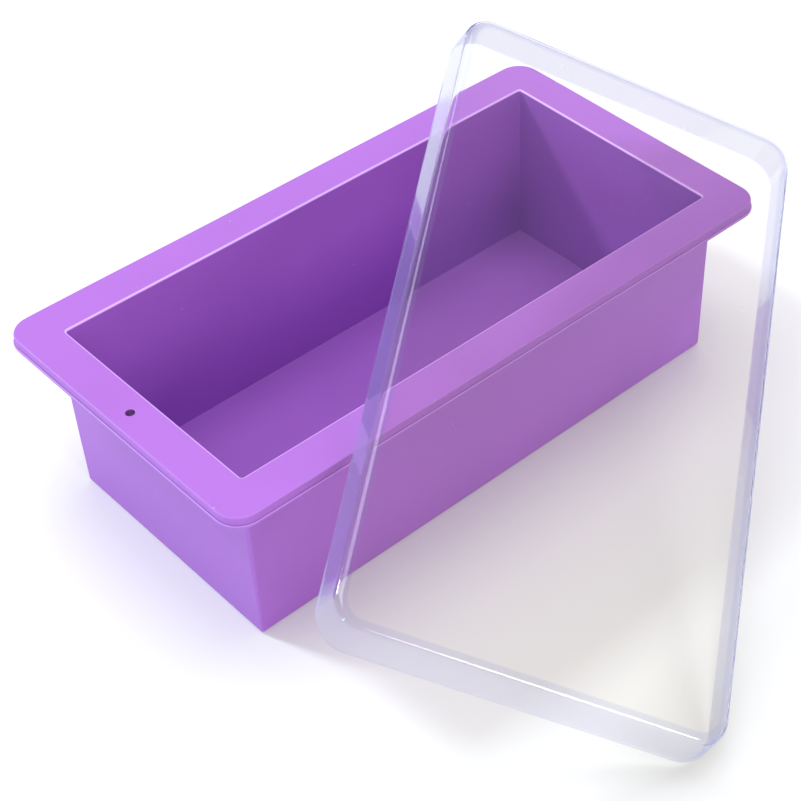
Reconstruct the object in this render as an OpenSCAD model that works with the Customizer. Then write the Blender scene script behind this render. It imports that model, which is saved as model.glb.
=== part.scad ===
// Soap loaf mould: a one-piece silicone box with a wide flange, and a clear lid that leans on it.
// The origin is the middle of the mould's base. X runs along the mould, Z is up.

/* [Mould cavity] */
// Length of the cavity at its mouth
cavity_l = 200; // [150:1:260]
// Width of the cavity at its mouth
cavity_w = 92; // [60:1:120]
// Height of the mould from base to flange top
mould_h = 67; // [50:1:90]
// Thickness of the floor
floor_t = 3; // [2:0.5:6]
// How far each wall leans inwards from mouth to base
draft = 1; // [0:0.25:3]
// Thickness of the end walls
end_wall_t = 2.5; // [2:0.25:6]
// Thickness of the long side walls
side_wall_t = 3; // [2:0.25:6]

/* [Mould flange] */
// Width of the flange at each end, measured from the cavity
flange_end_w = 14.5; // [10:0.5:25]
// Width of the flange at each long side, measured from the cavity
flange_side_w = 15; // [10:0.5:25]
// Thickness of the flange
flange_t = 4; // [3:0.25:6]
// Radius of the flange's outer corners
flange_r = 9; // [4:0.5:20]
// Thickness of the thin parting ledge round the flange's lower edge
ledge_t = 1; // [0.5:0.25:2]
// How far the parting ledge stands out
ledge_out = 0.5; // [0.25:0.25:1]
// Diameter of the hanging hole in one end of the flange
hole_d = 3; // [2:0.25:6]

/* [Lid] */
// Gap between the flange and the lid's skirt when the lid is on
lid_gap = 1.5; // [1:0.25:3]
// Thickness of the lid's plastic
lid_t = 0.8; // [0.6:0.1:1.5]
// Overall height of the lid, skirt included
lid_h = 15; // [10:0.5:25]
// How far the skirt flares outwards from panel to rim
lid_flare = 1.2; // [0:0.1:3]
// Radius of the bend between the panel and the skirt
lid_bend_r = 2.5; // [1:0.5:4]
// Radius of the lid's corners at the rim
lid_r = 11; // [6:0.5:24]

/* [Hidden] */
$fn = 64;
// A small overshoot that carries cutters clear through a face
clear = 1;

flange_l = cavity_l + 2 * flange_end_w;
flange_w = cavity_w + 2 * flange_side_w;
body_h = mould_h - flange_t;
cavity_h = mould_h - floor_t;
body_l = cavity_l + 2 * end_wall_t;
body_w = cavity_w + 2 * side_wall_t;
hole_x = -(cavity_l + flange_end_w) / 2;

lid_l = flange_l + 2 * (lid_gap + lid_t);
lid_w = flange_w + 2 * (lid_gap + lid_t);

// The lid leans: one long edge crosses the flange's front side, and one corner stands on the table.
lid_roll = 26;
lid_pitch = -14.7;
lid_yaw = 37;
lid_place = [12, -70.5];
// Height of the rim plane's centre that puts the lowest corner on the table
lid_lift = (lid_l / 2 - lid_r) * -sin(lid_pitch) + (lid_w / 2 - lid_r) * cos(lid_pitch) * sin(lid_roll)
         + lid_r * sqrt(1 - pow(cos(lid_pitch) * cos(lid_roll), 2));

// A flat rectangle with round corners, centred on the origin
module round_rectangle(l, w, r) {
    square([l - 2 * r, w], center = true);
    square([l, w - 2 * r], center = true);
    for (x = [-1, 1], y = [-1, 1])
        translate([x * (l / 2 - r), y * (w / 2 - r)]) circle(r);
}

// The space between two upright walls that lean by the same amount, standing on z = 0
module leaning_slab(low, high, h, reach) {
    rotate([90, 0, 0])
        linear_extrude(height = reach, center = true)
            polygon([[-low / 2, 0], [low / 2, 0], [high / 2, h], [-high / 2, h]]);
}

// A box whose four walls lean outwards from the bottom to the top
module tapered_box(bottom, top, h) {
    intersection() {
        leaning_slab(bottom[0], top[0], h, 2 * top[1]);
        rotate([0, 0, 90]) leaning_slab(bottom[1], top[1], h, 2 * top[0]);
    }
}

module flange() {
    linear_extrude(height = ledge_t) round_rectangle(flange_l, flange_w, flange_r);
    linear_extrude(height = flange_t)
        round_rectangle(flange_l - 2 * ledge_out, flange_w - 2 * ledge_out, flange_r - ledge_out);
}

module cavity() {
    lean = draft * (cavity_h + clear) / cavity_h;
    mouth = [cavity_l + 2 * (lean - draft), cavity_w + 2 * (lean - draft)];
    translate([0, 0, floor_t])
        tapered_box(mouth - [2 * lean, 2 * lean], mouth, cavity_h + clear);
}

module mould_body() {
    color("mediumorchid")
    difference() {
        union() {
            tapered_box([body_l - 2 * draft, body_w - 2 * draft], [body_l, body_w], body_h + clear);
            translate([0, 0, body_h]) flange();
        }
        cavity();
        translate([hole_x, 0, body_h - clear]) cylinder(d = hole_d, h = flange_t + 2 * clear);
    }
}

// One thin slice of the lid's outline at height z, drawn in by inset
module lid_slice(inset, z) {
    slice_t = 0.01;
    translate([0, 0, z - slice_t])
        linear_extrude(height = slice_t)
            round_rectangle(lid_l - 2 * inset, lid_w - 2 * inset, lid_r - inset, $fn = 32);
}

// A solid tray shape: a flared skirt, a rounded bend and a flat panel. inset shrinks it all round.
module lid_form(inset, bottom) {
    bend_r = lid_bend_r - inset / 2;
    top = lid_h - inset;
    hull() {
        lid_slice(inset - lid_flare * bottom / lid_h, bottom + 0.01);
        for (a = [0:22.5:90])
            lid_slice(lid_flare + inset + bend_r * (1 - cos(a)), top - bend_r * (1 - sin(a)));
    }
}

module lid() {
    color("aliceblue", 0.35)
    translate([lid_place[0], lid_place[1], lid_lift])
        rotate([lid_roll, lid_pitch, lid_yaw])
            difference() {
                lid_form(0, 0);
                lid_form(lid_t, -clear);
            }
}

mould_body();
lid();
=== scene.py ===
"""A silicone soap loaf mould and its clear lid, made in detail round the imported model.

The mould is one lofted mesh with soft rolled edges. The lid is a sheet drawn by Geometry Nodes and
given its thickness afterwards. The flange's outline, the mould's height and the lid's place are read
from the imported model.
"""

import math

import bmesh
import bpy
from bpy.props import FloatProperty, FloatVectorProperty, IntProperty, PointerProperty
from mathutils import Euler, Matrix, Vector, noise


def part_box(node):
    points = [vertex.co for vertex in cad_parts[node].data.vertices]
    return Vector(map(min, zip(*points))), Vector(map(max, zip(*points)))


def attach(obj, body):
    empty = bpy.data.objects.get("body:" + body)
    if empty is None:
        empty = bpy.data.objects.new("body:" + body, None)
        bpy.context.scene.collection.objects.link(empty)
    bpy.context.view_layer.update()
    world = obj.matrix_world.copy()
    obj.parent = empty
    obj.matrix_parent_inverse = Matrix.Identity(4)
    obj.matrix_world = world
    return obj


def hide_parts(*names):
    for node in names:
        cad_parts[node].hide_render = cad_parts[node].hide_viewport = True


bl_info = {
    "name": "Soap loaf mould",
    "version": (1, 0, 0),
    "blender": (4, 5, 0),
    "location": "View3D > Sidebar > Loaf mould",
    "description": "Builds a silicone soap loaf mould with a clear lid leaning on it",
    "category": "Object",
}

MM = 0.001

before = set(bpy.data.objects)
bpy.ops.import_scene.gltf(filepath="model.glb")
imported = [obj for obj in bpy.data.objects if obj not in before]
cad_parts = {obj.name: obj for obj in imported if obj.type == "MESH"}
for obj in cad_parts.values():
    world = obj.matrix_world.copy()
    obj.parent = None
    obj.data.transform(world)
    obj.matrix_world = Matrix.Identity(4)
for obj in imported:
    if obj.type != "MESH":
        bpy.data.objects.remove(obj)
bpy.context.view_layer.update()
MOULD_LOW, MOULD_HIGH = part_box("mould_body")
LID_LOW, LID_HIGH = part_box("lid")


# ---------------------------------------------------------------- settings


class MouldSettings(bpy.types.PropertyGroup):
    """Sizes and colours of the silicone mould."""

    cavity_length: FloatProperty(
        name="Cavity length", description="Length of the cavity at its mouth",
        default=0.2, unit="LENGTH",
    )
    cavity_width: FloatProperty(
        name="Cavity width", description="Width of the cavity at its mouth",
        default=0.092, unit="LENGTH",
    )
    end_wall: FloatProperty(
        name="End wall", description="Thickness of the short walls", default=0.0025, unit="LENGTH",
    )
    side_wall: FloatProperty(
        name="Side wall", description="Thickness of the long walls", default=0.003, unit="LENGTH",
    )
    floor: FloatProperty(
        name="Floor", description="Thickness of the floor", default=0.003, unit="LENGTH",
    )
    draft: FloatProperty(
        name="Draft", description="How far each wall leans in from mouth to base",
        default=0.001, unit="LENGTH",
    )
    flange: FloatProperty(
        name="Flange thickness", description="Thickness of the flange round the mouth",
        default=0.004, unit="LENGTH",
    )
    flange_corner: FloatProperty(
        name="Flange corner", description="Radius of the flange's outer corners",
        default=0.009, unit="LENGTH",
    )
    ledge: FloatProperty(
        name="Parting ledge", description="Thickness of the ledge left by the mould's parting line",
        default=0.001, unit="LENGTH",
    )
    ledge_out: FloatProperty(
        name="Ledge reach", description="How far the parting ledge stands out",
        default=0.0005, unit="LENGTH",
    )
    hole: FloatProperty(
        name="Hanging hole", description="Diameter of the hole in one end of the flange",
        default=0.003, unit="LENGTH",
    )
    colour: FloatVectorProperty(
        name="Colour", description="Colour of the silicone", subtype="COLOR", size=3,
        min=0.0, max=1.0, default=(0.37, 0.124, 0.565),
    )
    # Painted highlight: the rolled edges are lightened towards this colour where light would catch them.
    edge_colour: FloatVectorProperty(
        name="Edge colour", description="Colour where light gathers in the thin rolled edges",
        subtype="COLOR", size=3, min=0.0, max=1.0, default=(0.72, 0.45, 0.92),
    )


class LidSettings(bpy.types.PropertyGroup):
    """Sizes and colours of the clear lid, and how it leans."""

    length: FloatProperty(
        name="Length", description="Length of the lid at its rim", default=0.2336, unit="LENGTH",
    )
    width: FloatProperty(
        name="Width", description="Width of the lid at its rim", default=0.1266, unit="LENGTH",
    )
    height: FloatProperty(
        name="Height", description="Height of the lid, skirt included", default=0.015, unit="LENGTH",
    )
    sheet: FloatProperty(
        name="Sheet", description="Thickness of the plastic sheet", default=0.0008, unit="LENGTH",
    )
    flare: FloatProperty(
        name="Flare", description="How far the skirt leans out from panel to rim",
        default=0.0012, unit="LENGTH",
    )
    corner: FloatProperty(
        name="Corner", description="Radius of the corners at the rim", default=0.011, unit="LENGTH",
    )
    bend: FloatProperty(
        name="Bend", description="Radius of the bend between the panel and the skirt",
        default=0.0025, unit="LENGTH",
    )
    corner_steps: IntProperty(
        name="Corner steps", description="How many facets round each corner", default=14, min=4,
    )
    lean: FloatVectorProperty(
        name="Lean", description="Roll, pitch and yaw of the lid as it leans on the mould",
        subtype="EULER", size=3,
        default=(math.radians(26), math.radians(-14.7), math.radians(37)),
    )
    tint: FloatVectorProperty(
        name="Tint", description="Colour of the clear plastic", subtype="COLOR", size=3,
        min=0.0, max=1.0, default=(0.955, 0.945, 0.92),
    )
    # Painted shade and painted reflection: the skirt is tinted darker and bluer than the panel, in place
    # of the dimming and bluish reflection of a sheet seen edge on.
    skirt_tint: FloatVectorProperty(
        name="Skirt tint", description="Colour of the drawn skirt, where the sheet is a little hazy",
        subtype="COLOR", size=3, min=0.0, max=1.0, default=(0.83, 0.83, 0.9),
    )


class StudioSettings(bpy.types.PropertyGroup):
    """The floor, the lights and the camera."""

    camera_azimuth: FloatProperty(
        name="Camera azimuth", description="Direction that the camera looks from",
        subtype="ANGLE", default=math.radians(-43.2),
    )
    camera_elevation: FloatProperty(
        name="Camera elevation", description="How far the camera looks down",
        subtype="ANGLE", default=math.radians(42.1),
    )
    camera_roll: FloatProperty(
        name="Camera roll", description="Tilt of the camera about its own axis",
        subtype="ANGLE", default=math.radians(-0.36),
    )
    camera_place: FloatVectorProperty(
        name="Camera place", description="Where the camera stands", subtype="TRANSLATION", size=3,
        default=(-0.3183, -0.3955, 0.4662),
    )
    camera_lens: FloatProperty(
        name="Camera lens", description="Focal length in millimetres", default=86.95,
    )
    camera_shift: FloatVectorProperty(
        name="Camera shift", description="Sideways and upward shift of the frame", size=2,
        default=(-0.1417, -0.013),
    )
    floor_colour: FloatVectorProperty(
        name="Floor colour", description="Colour of the floor", subtype="COLOR", size=3,
        min=0.0, max=1.0, default=(0.80, 0.80, 0.80),
    )


# ---------------------------------------------------------------- small helpers


def add_piece(name, mesh, material=None):
    """Links a new object that holds the mesh and shows the material."""
    piece = bpy.data.objects.new(name, mesh)
    bpy.context.scene.collection.objects.link(piece)
    if material is not None:
        mesh.materials.append(material)
    return piece


def bake_modifiers(piece):
    """Replaces the piece's mesh with the result of its modifiers, and returns the new mesh."""
    bpy.context.view_layer.update()
    graph = bpy.context.evaluated_depsgraph_get()
    result = bpy.data.meshes.new_from_object(piece.evaluated_get(graph))
    piece.modifiers.clear()
    piece.data = result
    return result


def node_in(tree, kind, **values):
    """Adds a node. Its values set the node's own settings."""
    node = tree.nodes.new(kind)
    for key, value in values.items():
        setattr(node, key, value)
    return node


def feed(tree, node, inputs):
    """Sets a node's inputs, by name or number: a socket is linked, and anything else is a plain value."""
    for key, value in inputs.items():
        socket = node.inputs[key]
        if isinstance(value, bpy.types.NodeSocket):
            tree.links.new(value, socket)
        else:
            socket.default_value = value
    return node


# ---------------------------------------------------------------- shader groups


def group_shell(name, inputs, outputs):
    """An empty shader group with its sockets. Returns the tree, its input node and output node."""
    tree = bpy.data.node_groups.new(name, "ShaderNodeTree")
    for label, kind, value in inputs:
        socket = tree.interface.new_socket(name=label, in_out="INPUT", socket_type=kind)
        socket.default_value = value
    for label, kind in outputs:
        tree.interface.new_socket(name=label, in_out="OUTPUT", socket_type=kind)
    return tree, tree.nodes.new("NodeGroupInput"), tree.nodes.new("NodeGroupOutput")


def noise_node(tree, vector, scale, detail):
    """Fractal noise. The scale is about how many bumps there are to a metre."""
    node = node_in(tree, "ShaderNodeTexNoise")
    feed(tree, node, {"Vector": vector, "Scale": scale, "Detail": detail, "Roughness": 0.55})
    return node.outputs["Fac"]


def range_node(tree, value, low, high, to_low=0.0, to_high=1.0):
    """Maps low to to_low and high to to_high, and holds the value between them."""
    node = node_in(tree, "ShaderNodeMapRange")
    feed(tree, node, {"Value": value, "From Min": low, "From Max": high,
                      "To Min": to_low, "To Max": to_high})
    return node.outputs["Result"]


def math_node(tree, operation, a, b):
    """The operation on a and b, each a socket or a plain number."""
    node = node_in(tree, "ShaderNodeMath", operation=operation)
    return feed(tree, node, {0: a, 1: b}).outputs[0]


def moulded_surface_group():
    """Fine grain, slow drift and sparse dust, placed in the silicone and in the clear plastic.

    Grain and Drift are noise from 0 to 1. Dust is 1 on a speck and 0 elsewhere, and Dust Share is the
    part of the cells that hold a speck.
    """
    tree, start, end = group_shell(
        "Moulded surface",
        [("Grain Size", "NodeSocketFloat", 2500.0), ("Drift Size", "NodeSocketFloat", 14.0),
         ("Dust Size", "NodeSocketFloat", 420.0), ("Dust Share", "NodeSocketFloat", 0.1)],
        [("Drift", "NodeSocketFloat"), ("Grain", "NodeSocketFloat"), ("Dust", "NodeSocketFloat")],
    )
    place = node_in(tree, "ShaderNodeTexCoord").outputs["Object"]
    drift = noise_node(tree, place, start.outputs["Drift Size"], detail=2.0)
    grain = noise_node(tree, place, start.outputs["Grain Size"], detail=4.0)
    cells = node_in(tree, "ShaderNodeTexVoronoi")
    feed(tree, cells, {"Vector": place, "Scale": start.outputs["Dust Size"]})
    speck_edge, speck_core = 0.16, 0.08
    spot = range_node(tree, cells.outputs["Distance"], speck_edge, speck_core)
    pick = node_in(tree, "ShaderNodeSeparateColor")
    feed(tree, pick, {"Color": cells.outputs["Color"]})
    chosen = math_node(tree, "LESS_THAN", pick.outputs["Red"], start.outputs["Dust Share"])
    dust = math_node(tree, "MULTIPLY", spot, chosen)
    tree.links.new(drift, end.inputs["Drift"])
    tree.links.new(grain, end.inputs["Grain"])
    tree.links.new(dust, end.inputs["Dust"])
    return tree


def surface_node(tree, **sizes):
    """The moulded surface group in a material, with grain_size given to Grain Size, and so on."""
    node = node_in(tree, "ShaderNodeGroup")
    node.node_tree = bpy.data.node_groups.get("Moulded surface") or moulded_surface_group()
    return feed(tree, node, {key.replace("_", " ").title(): value for key, value in sizes.items()})


# Where a Mix node keeps its factor, its two colours and its result
MIX_SHARE, MIX_FIRST, MIX_SECOND, MIX_RESULT = 0, 6, 7, 2


def mix_colour(tree, share, first, second):
    """The first colour where share is 0 and the second where it is 1."""
    first, second = ((*value, 1.0) if isinstance(value, tuple) else value for value in (first, second))
    node = node_in(tree, "ShaderNodeMix", data_type="RGBA")
    feed(tree, node, {MIX_SHARE: share, MIX_FIRST: first, MIX_SECOND: second})
    return node.outputs[MIX_RESULT]


def scaled(colour, share):
    """The colour with each channel times share."""
    return tuple(channel * share for channel in colour)


def new_material(name):
    """A material, its node tree and its main shader."""
    material = bpy.data.materials.new(name)
    material.use_nodes = True
    shader = material.node_tree.nodes["Principled BSDF"]
    return material, material.node_tree, shader


def silicone_material(settings):
    """Satin purple silicone: even colour, rolled edges lightened as a painted highlight, painted shade in
    the hanging hole, faint grain and a little dust.
    """
    material, tree, shader = new_material("purple silicone")
    colour = tuple(settings.colour)
    # Painted shade: the hanging hole's wall takes half the body colour.
    drift_shade, painted_hole_shade = 0.92, 0.5
    dust_colour, dust_strength = (0.8, 0.72, 0.88), 0.22
    smoothest, roughest = 0.36, 0.46
    surface = surface_node(tree, grain_size=2600.0, drift_size=16.0, dust_size=300.0, dust_share=0.012)
    drift = range_node(tree, surface.outputs["Drift"], 0.3, 0.7)
    body = mix_colour(tree, drift, scaled(colour, drift_shade), colour)
    # Painted highlight: the rolled edges are mixed towards the lighter edge colour.
    edge = node_in(tree, "ShaderNodeAttribute", attribute_name="painted_light_mark").outputs["Fac"]
    rolled = mix_colour(tree, edge, body, tuple(settings.edge_colour))
    # Painted shade: where the mark is -1, on the hole's wall, the colour falls to the darker hole colour.
    open_to_light = range_node(tree, edge, -1.0, 0.0)
    with_painted_light = mix_colour(tree, open_to_light, scaled(colour, painted_hole_shade), rolled)
    dust = math_node(tree, "MULTIPLY", surface.outputs["Dust"], dust_strength)
    dusty = mix_colour(tree, dust, with_painted_light, dust_colour)
    rough = range_node(tree, surface.outputs["Drift"], 0.25, 0.75, smoothest, roughest)
    bump = node_in(tree, "ShaderNodeBump")
    feed(tree, bump, {"Strength": 0.12, "Distance": 0.0002, "Height": surface.outputs["Grain"]})
    feed(tree, shader, {
        "Base Color": dusty, "Roughness": rough, "Normal": bump.outputs["Normal"],
        "IOR": 1.45, "Subsurface Weight": 0.05, "Subsurface Scale": 0.003,
        "Subsurface Radius": (1.0, 0.6, 1.2),
    })
    return material


def clear_plastic_material(settings):
    """Clear thermoformed sheet, a little hazy on its skirt, which also takes a darker, bluer tint as
    painted shade and painted reflection.

    Shadow rays and diffuse rays pass straight through, so that the lid casts only a light shadow. What
    passes is dimmed where the sheet is seen edge on.
    """
    material, tree, shader = new_material("clear plastic")
    face_on_share, edge_on_share = 1.05, 0.42
    surface = surface_node(tree, grain_size=60.0, drift_size=9.0, dust_size=160.0, dust_share=0.03)
    skirt = node_in(tree, "ShaderNodeAttribute", attribute_name="skirt").outputs["Fac"]
    dusty = math_node(tree, "MULTIPLY", surface.outputs["Dust"], 0.3)
    haze = range_node(tree, skirt, 0.0, 1.0, 0.01, 0.16)
    rough = math_node(tree, "MAXIMUM", dusty, haze)
    shine = range_node(tree, skirt, 0.0, 1.0, 0.35, 1.0)
    # Painted shade and painted reflection: the skirt takes the darker, bluer skirt tint.
    tint = mix_colour(tree, skirt, tuple(settings.tint), tuple(settings.skirt_tint))
    bump = node_in(tree, "ShaderNodeBump")
    feed(tree, bump, {"Strength": 0.25, "Distance": 0.0004, "Height": surface.outputs["Drift"]})
    feed(tree, shader, {
        "Base Color": tint, "Roughness": rough, "Normal": bump.outputs["Normal"],
        "IOR": 1.04, "Transmission Weight": 1.0,
        "Coat Weight": shine, "Coat Roughness": 0.05,
        "Sheen Weight": 1.0, "Sheen Roughness": 0.3, "Sheen Tint": (0.5, 0.54, 1.0, 1.0),
    })
    rays = node_in(tree, "ShaderNodeLightPath").outputs
    passing = math_node(tree, "MAXIMUM", rays["Is Shadow Ray"], rays["Is Diffuse Ray"])
    grazing = feed(tree, node_in(tree, "ShaderNodeLayerWeight"), {"Blend": 0.35}).outputs["Facing"]
    clear, dim = (scaled(settings.tint, share) for share in (face_on_share, edge_on_share))
    through = feed(tree, node_in(tree, "ShaderNodeBsdfTransparent"),
                   {"Color": mix_colour(tree, grazing, clear, dim)})
    mix = feed(tree, node_in(tree, "ShaderNodeMixShader"),
               {0: passing, 1: shader.outputs["BSDF"], 2: through.outputs["BSDF"]})
    tree.links.new(mix.outputs["Shader"], tree.nodes["Material Output"].inputs["Surface"])
    return material


# ---------------------------------------------------------------- mould


# Facets round each corner, along the long and short sides, and round a rolled edge
CORNER_STEPS = 10
LONG_STEPS = 24
SHORT_STEPS = 12
ROLL_STEPS = 6

# Radii of the rolled edges, from the base round the outside to the floor of the cavity
BASE_ROLL = 1.2 * MM
JOINT_ROLL = 0.9 * MM
LEDGE_ROLL = 0.3 * MM
RIM_ROLL = 0.5 * MM
MOUTH_ROLL = 0.75 * MM
FLOOR_ROLL = 0.3 * MM

# Radii of the upright corners of the walls, outside and in the cavity, and the least one that is drawn
WALL_CORNER = 1.8 * MM
CAVITY_CORNER = 0.9 * MM
LEAST_CORNER = 0.25 * MM


def round_rectangle(half_x, half_y, radius):
    """Points round a rectangle with round corners. Every call gives the same number of points."""
    arcs = []
    for quarter, (sx, sy) in enumerate(((1, 1), (-1, 1), (-1, -1), (1, -1))):
        middle = Vector((sx * (half_x - radius), sy * (half_y - radius)))
        turns = [math.radians(90 * (quarter + i / CORNER_STEPS)) for i in range(CORNER_STEPS + 1)]
        arcs.append([middle + radius * Vector((math.cos(t), math.sin(t))) for t in turns])
    points = []
    side_steps = (LONG_STEPS, SHORT_STEPS, LONG_STEPS, SHORT_STEPS)
    for arc, following, steps in zip(arcs, arcs[1:] + arcs[:1], side_steps):
        points += arc
        points += [arc[-1].lerp(following[0], i / steps) for i in range(1, steps)]
    return points


def roll(centre_out, centre_z, radius, start, stop, painted_highlight):
    """A rolled edge in the wall's section, as (outset, height, painted highlight) between two angles in
    degrees.
    """
    rings = []
    for i in range(ROLL_STEPS + 1):
        share = i / ROLL_STEPS
        angle = math.radians(start + (stop - start) * share)
        rings.append((centre_out + radius * math.cos(angle), centre_z + radius * math.sin(angle),
                      painted_highlight * math.sin(math.pi * share)))
    return rings


def mould_section(s):
    """The mould's section from the edge of its base, round the flange, to the edge of its floor.

    Each entry is an outline (half length, half width, corner radius) and the rings drawn from it, as
    (outset, height, painted highlight). The painted highlight is how far a rolled edge takes the edge
    colour, a lighter colour painted where light catches the edge.
    """
    top = MOULD_HIGH.z
    under = top - s.flange
    body = (s.cavity_length / 2 + s.end_wall, s.cavity_width / 2 + s.side_wall, WALL_CORNER)
    flange = (MOULD_HIGH.x, MOULD_HIGH.y, s.flange_corner)
    mouth = (s.cavity_length / 2, s.cavity_width / 2, CAVITY_CORNER)

    def outer_wall(z):
        return -s.draft * (1 - z / under)

    def inner_wall(z):
        return -s.draft * (top - z) / (top - s.floor)

    # The last number of each roll is its painted highlight: the mouth's edge takes the most, and the
    # base, ledge and rim take some.
    outside = roll(-s.draft - BASE_ROLL, BASE_ROLL, BASE_ROLL, -90, 0, 0.35)
    outside += [(outer_wall(top * share), top * share, 0.0) for share in (0.1, 0.3, 0.5, 0.7, 0.88)]
    outside += roll(JOINT_ROLL, under - JOINT_ROLL, JOINT_ROLL, 180, 90, 0.0)
    rim = roll(-LEDGE_ROLL, under + LEDGE_ROLL, LEDGE_ROLL, -90, 0, 0.25)
    rim += roll(-LEDGE_ROLL, under + s.ledge - LEDGE_ROLL, LEDGE_ROLL, 0, 90, 0.45)
    rim += [(-s.ledge_out, under + s.ledge, 0.0)]
    rim += roll(-s.ledge_out - RIM_ROLL, top - RIM_ROLL, RIM_ROLL, 0, 90, 0.1)
    inside = roll(MOUTH_ROLL, top - MOUTH_ROLL, MOUTH_ROLL, 90, 180, 1.0)
    inside += [(inner_wall(top * share), top * share, 0.0) for share in (0.9, 0.7, 0.5, 0.3, 0.1)]
    inside += roll(-s.draft - FLOOR_ROLL, s.floor + FLOOR_ROLL, FLOOR_ROLL, 0, -90, 0.0)
    return [(body, outside), (flange, rim), (mouth, inside)]


def slack(point, s):
    """How far soft silicone strays from true: the flange ripples and the walls bow very slightly."""
    ripple, ripples_per_metre, ripple_slice = 0.22 * MM, 16, 3.1
    bow, bows_per_metre, bows_per_metre_up = 0.35 * MM, 9, 12
    under = MOULD_HIGH.z - s.flange
    if point.z >= under - 0.5 * MM:
        spot = Vector((point.x * ripples_per_metre, point.y * ripples_per_metre, ripple_slice))
        return Vector((0, 0, ripple * noise.noise(spot)))
    if point.z < s.floor + 2 * MM:
        return Vector()
    share = math.sin(math.pi * point.z / under)
    spot = Vector((point.x * bows_per_metre, point.y * bows_per_metre, point.z * bows_per_metre_up))
    if abs(point.x) > s.cavity_length / 2 - 2 * MM:
        outwards = Vector((math.copysign(1, point.x), 0, 0))
    else:
        outwards = Vector((0, math.copysign(1, point.y), 0))
    return outwards * bow * share * noise.noise(spot)


def close_rings(shell, rings):
    """Joins each ring of vertices to the next, closes both ends and shades the shell smooth."""
    for lower, upper in zip(rings, rings[1:]):
        for i, vertex in enumerate(lower):
            after = (i + 1) % len(lower)
            shell.faces.new((vertex, lower[after], upper[after], upper[i]))
    shell.faces.new(list(reversed(rings[0])))
    shell.faces.new(rings[-1])
    bmesh.ops.recalc_face_normals(shell, faces=shell.faces)
    for face in shell.faces:
        face.smooth = True


def mesh_from(shell, name):
    """A mesh of the shell, which is then done with."""
    mesh = bpy.data.meshes.new(name)
    shell.to_mesh(mesh)
    shell.free()
    return mesh


def mould_mesh(s):
    """Lofts the section's rings into one closed shell and records at each point how much painted
    highlight its rolled edge takes.
    """
    shell = bmesh.new()
    painted_light_layer = shell.verts.layers.float.new("painted_light_mark")
    rings = []
    for (half_x, half_y, radius), section in mould_section(s):
        for outset, z, painted_highlight in section:
            corner = max(radius + outset, LEAST_CORNER)
            ring = []
            for x, y in round_rectangle(half_x + outset, half_y + outset, corner):
                point = Vector((x, y, z))
                vertex = shell.verts.new(point + slack(point, s))
                vertex[painted_light_layer] = painted_highlight
                ring.append(vertex)
            rings.append(ring)
    close_rings(shell, rings)
    return mesh_from(shell, "silicone_mould")


def hole_x(s):
    """The hanging hole's place on X: halfway across the flange at that end. Its place on Y is 0."""
    return (MOULD_LOW.x - s.cavity_length / 2) / 2


def hole_cutter(s):
    """A pin with flared ends, so that the hole it cuts has rolled edges."""
    top, under = MOULD_HIGH.z, MOULD_HIGH.z - s.flange
    flare, flare_steps, steps = 0.4 * MM, 4, 40
    wide = s.hole / 2 + flare
    profile = [(wide, under - MM)]
    for middle_z, start in ((under + flare, 90), (top - flare, 180)):
        for i in range(flare_steps + 1):
            angle = math.radians(start + 90 * i / flare_steps)
            profile.append((wide + flare * math.cos(angle), middle_z - flare * math.sin(angle)))
    profile.append((wide, top + MM))
    turns = [2 * math.pi * i / steps for i in range(steps)]
    centre_x = hole_x(s)
    pin = bmesh.new()
    rings = []
    for r, z in profile:
        ring = [(centre_x + r * math.cos(t), r * math.sin(t), z) for t in turns]
        rings.append([pin.verts.new(point) for point in ring])
    close_rings(pin, rings)
    return mesh_from(pin, "hole_pin")


def shade_hole(mesh, s):
    """Marks the wall of the hanging hole for painted shade: its value in the painted light attribute is
    -1.
    """
    reach = s.hole / 2 + 0.1 * MM
    under = MOULD_HIGH.z - s.flange
    centre = Vector((hole_x(s), 0))
    edge = mesh.attributes["painted_light_mark"].data
    for vertex in mesh.vertices:
        if vertex.co.z > under - MM and (vertex.co.xy - centre).length < reach:
            edge[vertex.index].value = -1.0


# ---------------------------------------------------------------- lid


# Facets in the bend between the skirt and the panel
BEND_STEPS = 10

# The skirt's swept corners end up to 0.13 mm off the panel's outline, so points this close are one
WELD = 0.2 * MM


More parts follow.
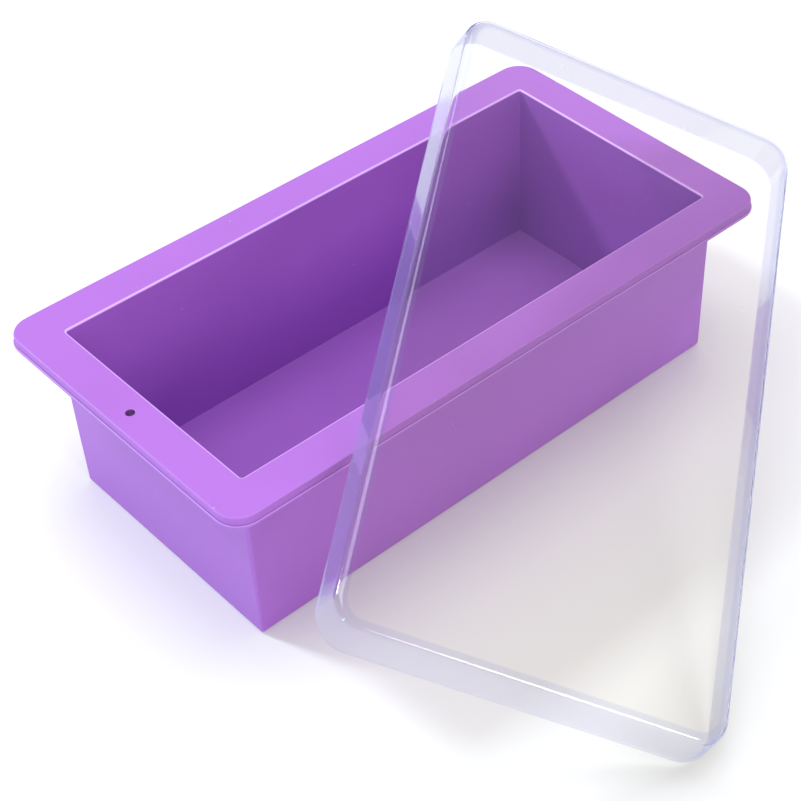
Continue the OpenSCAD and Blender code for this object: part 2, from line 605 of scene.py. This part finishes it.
def lid_tree():
    """Geometry Nodes: sweeps the skirt's section round the lid's outline and fills in the panel."""
    tree = bpy.data.node_groups.new("Clear lid sheet", "GeometryNodeTree")
    sizes = ("Length", "Width", "Height", "Flare", "Corner Radius", "Bend Radius", "Panel Margin")
    kinds = dict.fromkeys(sizes, "NodeSocketFloat")
    kinds |= {"Corner Steps": "NodeSocketInt", "Material": "NodeSocketMaterial"}
    for label, kind in kinds.items():
        tree.interface.new_socket(name=label, in_out="INPUT", socket_type=kind)
    tree.interface.new_socket(name="Geometry", in_out="OUTPUT", socket_type="NodeSocketGeometry")
    given = tree.nodes.new("NodeGroupInput").outputs
    end = tree.nodes.new("NodeGroupOutput")

    def made(kind, inputs, **values):
        """The first output of a new node that is fed the inputs."""
        return feed(tree, node_in(tree, kind, **values), inputs).outputs[0]

    def outline(inset):
        """The lid's outline at its rim, drawn in by inset."""
        twice = math_node(tree, "MULTIPLY", inset, 2.0)
        rectangle = made("GeometryNodeCurvePrimitiveQuadrilateral", {
            "Width": math_node(tree, "SUBTRACT", given["Length"], twice),
            "Height": math_node(tree, "SUBTRACT", given["Width"], twice),
        })
        return made("GeometryNodeFilletCurve", {
            "Curve": rectangle, "Count": given["Corner Steps"],
            "Radius": math_node(tree, "SUBTRACT", given["Corner Radius"], inset),
        }, mode="POLY")

    # The section is drawn flat, from the rim up the skirt and in along the panel. Once it is swept, its
    # -X points into the lid and its -Y points up.
    margin = math_node(tree, "ADD", given["Flare"], given["Panel Margin"])
    inwards = [math_node(tree, "MULTIPLY", reach, -1.0) for reach in (given["Flare"], margin)]
    upwards = math_node(tree, "MULTIPLY", given["Height"], -1.0)
    corners = [(0.0, 0.0)] + [(reach, upwards) for reach in inwards]
    place = node_in(tree, "GeometryNodeIndexSwitch", data_type="VECTOR")
    place.index_switch_items.new()
    feed(tree, place, {"Index": made("GeometryNodeInputIndex", {})})
    for i, (x, y) in enumerate(corners):
        feed(tree, place, {str(i): made("ShaderNodeCombineXYZ", {"X": x, "Y": y})})
    line = made("GeometryNodeMeshLine", {"Count": len(corners)})
    placed = made("GeometryNodeSetPosition", {"Geometry": line, "Position": place.outputs["Output"]})
    section = made("GeometryNodeMeshToCurve", {"Mesh": placed})
    bent = made("GeometryNodeFilletCurve",
                {"Curve": section, "Count": BEND_STEPS, "Radius": given["Bend Radius"]}, mode="POLY")

    upright = made("GeometryNodeSetCurveNormal", {"Curve": outline(0.0)}, mode="Z_UP")
    swept = made("GeometryNodeCurveToMesh", {"Curve": upright, "Profile Curve": bent})
    marked = made("GeometryNodeStoreNamedAttribute", {"Geometry": swept, "Name": "skirt", "Value": 1.0},
                  data_type="FLOAT", domain="FACE")
    skirt = made("GeometryNodeFlipFaces", {"Mesh": marked})

    flat = made("GeometryNodeFillCurve", {"Curve": outline(margin)}, mode="NGONS")
    lift = made("ShaderNodeCombineXYZ", {"Z": given["Height"]})
    panel = made("GeometryNodeTransform", {"Geometry": flat, "Translation": lift})

    joined = node_in(tree, "GeometryNodeJoinGeometry")
    for sheet in (skirt, panel):
        tree.links.new(sheet, joined.inputs["Geometry"])
    welded = made("GeometryNodeMergeByDistance",
                  {"Geometry": joined.outputs["Geometry"], "Distance": WELD})
    smooth = made("GeometryNodeSetShadeSmooth", {"Geometry": welded})
    real = made("GeometryNodeRealizeInstances", {"Geometry": smooth})
    shown = made("GeometryNodeSetMaterial", {"Geometry": real, "Material": given["Material"]})
    tree.links.new(shown, end.inputs["Geometry"])
    return tree


def set_tree_inputs(modifier, values):
    """Sets a Geometry Nodes modifier's inputs, given by name, through their identifiers."""
    for item in modifier.node_group.interface.items_tree:
        if item.item_type == "SOCKET" and item.in_out == "INPUT" and item.name in values:
            modifier[item.identifier] = values[item.name]


def lean_in_place(mesh, lean):
    """Turns the mesh as the lid leans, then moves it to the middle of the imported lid's box."""
    mesh.transform(Euler(lean, "XYZ").to_matrix().to_4x4())
    low = Vector([min(v.co[i] for v in mesh.vertices) for i in range(3)])
    high = Vector([max(v.co[i] for v in mesh.vertices) for i in range(3)])
    mesh.transform(Matrix.Translation((LID_LOW + LID_HIGH - low - high) / 2))


# ---------------------------------------------------------------- operators


class LOAF_OT_mould(bpy.types.Operator):
    """Builds the silicone mould with its flange, parting ledge and hanging hole"""

    bl_idname = "loaf.mould"
    bl_label = "Silicone mould"

    def execute(self, context):
        s = context.scene.loaf_mould
        piece = add_piece("silicone_mould", mould_mesh(s), silicone_material(s))
        pin = add_piece("hole_pin", hole_cutter(s))
        cut = piece.modifiers.new("hanging hole", "BOOLEAN")
        cut.operation = "DIFFERENCE"
        cut.solver = "EXACT"
        cut.object = pin
        normals = piece.modifiers.new("flat faces", "WEIGHTED_NORMAL")
        normals.keep_sharp = True
        # Painted shade goes on the hole's wall once the hole is cut.
        shade_hole(bake_modifiers(piece), s)
        bpy.data.objects.remove(pin)
        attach(piece, "mould")
        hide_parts("mould_body")
        return {"FINISHED"}


class LOAF_OT_lid(bpy.types.Operator):
    """Builds the clear lid, leaning on the mould"""

    bl_idname = "loaf.lid"
    bl_label = "Clear lid"

    def execute(self, context):
        s = context.scene.loaf_lid
        material = clear_plastic_material(s)
        piece = add_piece("clear_lid", bpy.data.meshes.new("clear_lid"), material)
        sheet = piece.modifiers.new("sheet", "NODES")
        sheet.node_group = lid_tree()
        set_tree_inputs(sheet, {
            "Length": s.length, "Width": s.width, "Height": s.height, "Flare": s.flare,
            "Corner Radius": s.corner, "Bend Radius": s.bend, "Panel Margin": s.bend + MM,
            "Corner Steps": s.corner_steps, "Material": material,
        })
        thick = piece.modifiers.new("thickness", "SOLIDIFY")
        thick.thickness = s.sheet
        thick.offset = -1.0
        thick.use_even_offset = True
        rim = piece.modifiers.new("rim edge", "BEVEL")
        rim.width = 0.2 * MM
        rim.segments = 2
        rim.limit_method = "ANGLE"
        rim.angle_limit = math.radians(60)
        normals = piece.modifiers.new("flat faces", "WEIGHTED_NORMAL")
        normals.keep_sharp = True
        bake_modifiers(piece)
        lean_in_place(piece.data, s.lean)
        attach(piece, "lid")
        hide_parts("lid")
        return {"FINISHED"}


# Half the side of the square floor, in metres
FLOOR_HALF = 2.0

# The light from all round
SKY_COLOUR = (1.0, 0.985, 0.975)
SKY_STRENGTH = 0.78

# Soft square lamps: name, place and side in metres, power in watts, colour
LAMPS = (
    ("window", (-0.7, 1.5, 1.5), 0.3, 25.5, (0.84, 0.94, 1.0)),
    ("overhead", (0.16, 0.0, 1.2), 0.8, 6.2, (0.9, 0.95, 1.0)),
    ("left", (-1.1, -0.1, 0.09), 0.16, 2.2, (0.36, 0.82, 1.0)),
    ("front", (-0.2, -1.2, 0.5), 0.35, 4.4, (1.0, 1.0, 1.0)),
    ("back panel", (0.8, 0.9, 1.0), 1.0, 1.0, (1.0, 1.0, 1.0)),
)


def add_lamp(name, place, size, power, colour):
    """A soft square lamp at place that shines towards the middle of the mould."""
    aim = Vector((0, 0, MOULD_HIGH.z / 2))
    data = bpy.data.lights.new(name, "AREA")
    data.size = size
    data.energy = power
    data.color = colour
    lamp = bpy.data.objects.new(name, data)
    lamp.location = place
    lamp.rotation_euler = (aim - Vector(place)).to_track_quat("-Z", "Y").to_euler()
    bpy.context.scene.collection.objects.link(lamp)


def add_camera(s):
    """The camera, turned by its azimuth, elevation and roll."""
    data = bpy.data.cameras.new("camera")
    data.sensor_width = 36.0
    data.lens = s.camera_lens
    data.shift_x, data.shift_y = s.camera_shift
    data.clip_start, data.clip_end = 0.01, 20.0
    camera = bpy.data.objects.new("camera", data)
    a, e, r = s.camera_azimuth, s.camera_elevation, s.camera_roll
    back = Vector((math.sin(a) * math.cos(e), -math.cos(a) * math.cos(e), math.sin(e)))
    right = (-back).cross(Vector((0, 0, 1))).normalized()
    up = right.cross(-back)
    tilted_right = right * math.cos(r) + up * math.sin(r)
    tilted_up = up * math.cos(r) - right * math.sin(r)
    turn = Matrix((tilted_right, tilted_up, back)).transposed().to_4x4()
    camera.matrix_world = Matrix.Translation(s.camera_place) @ turn
    bpy.context.scene.collection.objects.link(camera)
    bpy.context.scene.camera = camera


def floor_material(colour):
    """A plain matt floor."""
    material, tree, shader = new_material("pale floor")
    feed(tree, shader, {"Base Color": (*colour, 1.0), "Roughness": 0.9})
    return material


class LOAF_OT_studio(bpy.types.Operator):
    """Builds the floor, the soft studio light and the camera"""

    bl_idname = "loaf.studio"
    bl_label = "Studio"

    def execute(self, context):
        s = context.scene.loaf_studio
        mesh = bpy.data.meshes.new("floor")
        turns = ((-1, -1), (1, -1), (1, 1), (-1, 1))
        mesh.from_pydata([(x * FLOOR_HALF, y * FLOOR_HALF, 0) for x, y in turns], [], [(0, 1, 2, 3)])
        floor = add_piece("floor", mesh, floor_material(s.floor_colour))
        world = bpy.data.worlds.new("studio")
        world.use_nodes = True
        sky = world.node_tree.nodes["Background"]
        sky.inputs["Color"].default_value = (*SKY_COLOUR, 1.0)
        sky.inputs["Strength"].default_value = SKY_STRENGTH
        context.scene.world = world
        for lamp in LAMPS:
            add_lamp(*lamp)
        context.scene.view_settings.view_transform = "Standard"
        add_camera(s)
        return {"FINISHED"}


class LOAF_PT_panel(bpy.types.Panel):
    """Lists the pieces and their settings"""

    bl_idname = "LOAF_PT_panel"
    bl_label = "Loaf mould"
    bl_space_type = "VIEW_3D"
    bl_region_type = "UI"
    bl_category = "Loaf mould"

    def draw(self, context):
        scene = context.scene
        for settings, operator in ((scene.loaf_mould, "loaf.mould"), (scene.loaf_lid, "loaf.lid"),
                                   (scene.loaf_studio, "loaf.studio")):
            box = self.layout.box()
            for name in settings.__annotations__:
                box.prop(settings, name)
            box.operator(operator)


CLASSES = (MouldSettings, LidSettings, StudioSettings, LOAF_OT_mould, LOAF_OT_lid, LOAF_OT_studio,
           LOAF_PT_panel)


def register():
    for cls in CLASSES:
        bpy.utils.register_class(cls)
    bpy.types.Scene.loaf_mould = PointerProperty(type=MouldSettings)
    bpy.types.Scene.loaf_lid = PointerProperty(type=LidSettings)
    bpy.types.Scene.loaf_studio = PointerProperty(type=StudioSettings)


def unregister():
    del bpy.types.Scene.loaf_mould, bpy.types.Scene.loaf_lid, bpy.types.Scene.loaf_studio
    for cls in reversed(CLASSES):
        bpy.utils.unregister_class(cls)


def main():
    register()
    bpy.ops.loaf.studio()
    bpy.ops.loaf.mould()
    bpy.ops.loaf.lid()


if __name__ == "__main__":
    main()
